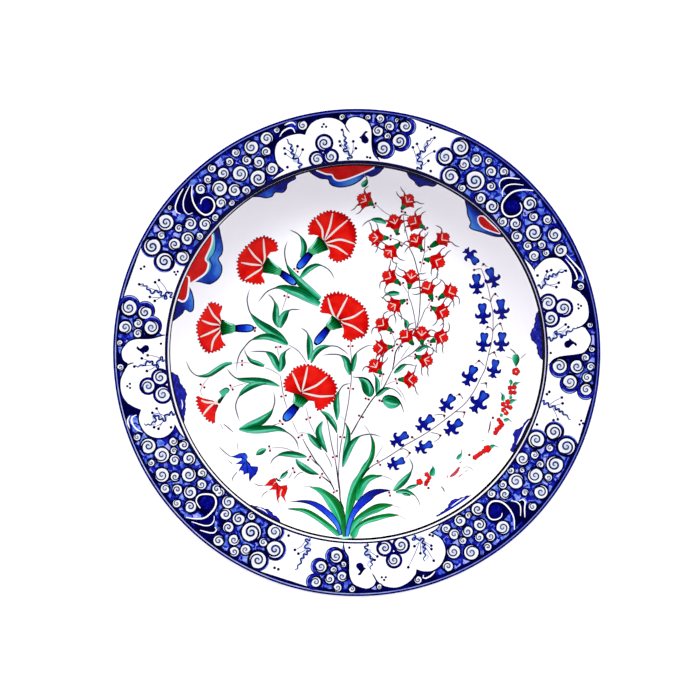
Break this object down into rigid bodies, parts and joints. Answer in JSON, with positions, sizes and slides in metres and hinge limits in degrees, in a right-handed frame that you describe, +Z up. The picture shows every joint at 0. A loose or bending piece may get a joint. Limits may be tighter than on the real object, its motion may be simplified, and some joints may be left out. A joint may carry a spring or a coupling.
{
  "type": "decorative plate",
  "caption": "Round glazed ceramic wall plate with a deep well, wide flat rim and foot ring, its face painted with carnations, rosebuds, hyacinths and a blue spiral border.",
  "frame": {"origin": "centre of the foot ring's contact face, on the plane the plate rests on", "axes": "+Z up out of the painted face, +Y towards the top of the picture, +X to its right"},
  "size_m": [0.3, 0.3, 0.0443],
  "materials": {
    "fired_clay": "bare fired clay, matt and slightly gritty, seen only on the foot ring",
    "white_slip": "smooth white slip under the glaze",
    "white_glaze": "glossy, faintly wavy, clear over white",
    "cobalt": "glossy brushed cobalt blue, darker where the brush overlaps",
    "light_blue": "glossy thin cobalt wash with dark outlines",
    "bole_red": "thick red slip standing slightly proud, satin gloss",
    "copper_green": "glossy copper green, pooled darker along one side",
    "leaf_green": "glossy green wash fading to white along one edge",
    "black_line": "glossy blue-black brush line"
  },
  "bodies": {
    "root": {"plate_body": "fired_clay", "foot_ring": "fired_clay", "face_slip": "white_slip", "face_glaze": "white_glaze", "back_glaze": "white_glaze", "recess_glaze": "white_glaze", "rim_edge_line": "cobalt", "rim_cobalt_band": "cobalt", "rim_trefoil_1": "cobalt", "rim_trefoil_2": "cobalt", "rim_trefoil_3": "cobalt", "rim_trefoil_4": "cobalt", "left_edge_petal": "cobalt", "lower_left_petal": "cobalt", "lower_right_petal": "cobalt", "right_edge_petal": "cobalt", "top_left_petal": "cobalt", "hyacinth_spray": "cobalt", "left_rosette": "light_blue", "right_upper_petal": "light_blue", "top_right_petal": "light_blue", "carnation_1_tube": "light_blue", "carnation_2_tube": "light_blue", "carnation_3_tube": "light_blue", "carnation_4_tube": "light_blue", "carnation_5_tube": "light_blue", "tuft_leaf_3": "light_blue", "tuft_leaf_7": "light_blue", "blue_tulip": "light_blue", "left_rosette_heart": "bole_red", "left_small_petal": "bole_red", "top_red_petal": "bole_red", "carnation_1_petals": "bole_red", "carnation_2_petals": "bole_red", "carnation_3_petals": "bole_red", "carnation_4_petals": "bole_red", "carnation_5_petals": "bole_red", "carnation_6_petals": "bole_red", "red_tulip": "bole_red", "rosebud_spray": "bole_red", "berry_spray": "bole_red", "carnation_1_calyx": "copper_green", "carnation_2_calyx": "copper_green", "carnation_3_calyx": "copper_green", "carnation_4_calyx": "copper_green", "carnation_5_calyx": "copper_green", "carnation_6_calyx": "copper_green", "tuft_leaf_2": "copper_green", "tuft_leaf_6": "copper_green", "tuft_leaf_1": "leaf_green", "tuft_leaf_4": "leaf_green", "tuft_leaf_5": "leaf_green", "tuft_leaf_8": "leaf_green", "well_line": "black_line"}
  },
  "joints": []
}
